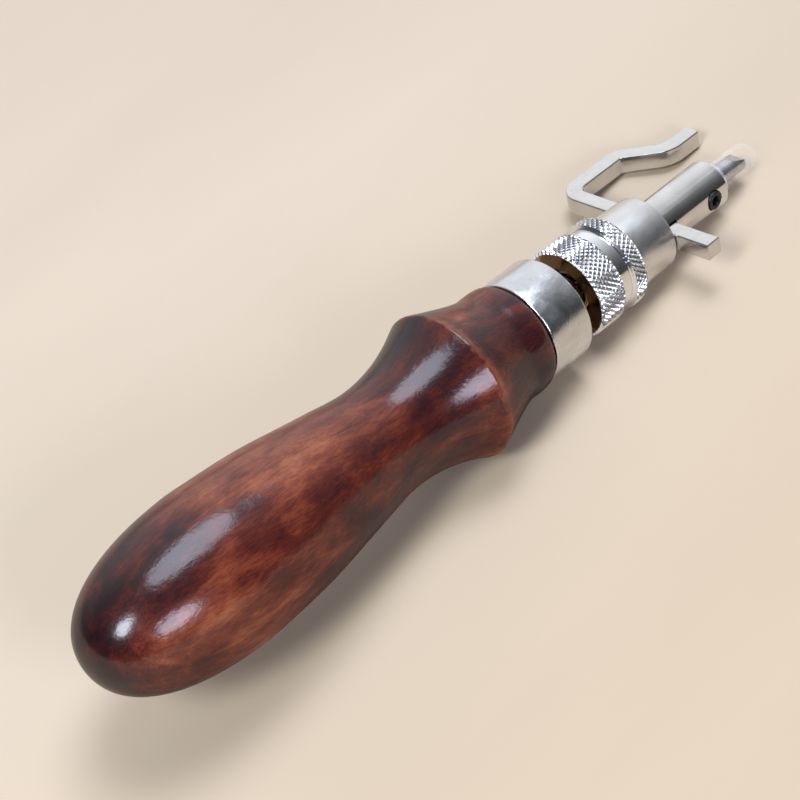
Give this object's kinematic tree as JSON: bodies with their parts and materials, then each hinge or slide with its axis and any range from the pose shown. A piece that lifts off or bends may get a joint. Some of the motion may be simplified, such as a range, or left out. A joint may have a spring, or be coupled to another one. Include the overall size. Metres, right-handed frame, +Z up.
{
  "type": "leather edge tool with adjustable guide arm",
  "caption": "Hand tool for leather edges: a turned wooden handle, a steel shaft with a capped cutter, and a bent guide arm clamped across it by a knurled nut and sleeve.",
  "frame": {"origin": "middle of the bounding box in plan, on the surface that the tool lies on", "axes": "+X along the tool in plan from butt to tip, +Z up from the surface, +Y towards the guide arm's side; the tool's own axis is pitched nose down by 7.18 degrees and the guide arm is rolled down towards +Y until it touches the surface"},
  "size_m": [0.1642, 0.0364, 0.0356],
  "materials": {
    "stained_wood": "mahogany stain under gloss lacquer",
    "plated_ferrule": "bright nickel plate",
    "spindle_steel": "satin nickel plate",
    "bright_nut": "bright nickel plate over diamond knurling",
    "satin_sleeve": "satin nickel plate",
    "bright_arm": "bright nickel plate",
    "cutter_steel": "ground tool steel",
    "black_screw": "black oxide",
    "clear_cap": "clear soft plastic"
  },
  "bodies": {
    "handle": {"wooden_handle": "stained_wood", "ferrule": "plated_ferrule", "spindle": "spindle_steel"},
    "sleeve": {"clamp_sleeve": "satin_sleeve"},
    "nut": {"knurled_nut": "bright_nut"},
    "guide": {"guide_arm": "bright_arm"},
    "tip": {"cutter": "cutter_steel"},
    "cap": {"tip_cap": "clear_cap"},
    "set_screw": {"cutter_set_screw": "black_screw"}
  },
  "joints": [
    {"name": "sleeve_slide", "type": "slide", "parent": "handle", "child": "sleeve", "axis": [0.9922, 0, -0.1249], "range_m": [-0.002, 0]},
    {"name": "nut_turn", "type": "hinge", "parent": "sleeve", "child": "nut", "pos_m": [0.03597, -0.00365, 0.00953], "axis": [0.9922, 0, -0.1249], "range_deg": [-720, 0]},
    {"name": "guide_slide", "type": "slide", "parent": "handle", "child": "guide", "axis": [-0.0196, 0.9876, -0.1557], "range_m": [-0.0065, 0.009]},
    {"name": "cutter_slide", "type": "slide", "parent": "handle", "child": "tip", "axis": [0.9922, 0, -0.1249], "range_m": [0, 0.014]},
    {"name": "cap_pull", "type": "slide", "parent": "tip", "child": "cap", "axis": [0.9922, 0, -0.1249], "range_m": [0, 0.012]},
    {"name": "set_screw_back_off", "type": "slide", "parent": "handle", "child": "set_screw", "axis": [0.0196, -0.9876, 0.1557], "range_m": [0, 0.0025]}
  ],
  "couplings": [
    {"joint": "nut_turn", "follows": "sleeve_slide", "rad_per_m": 6283.2}
  ]
}
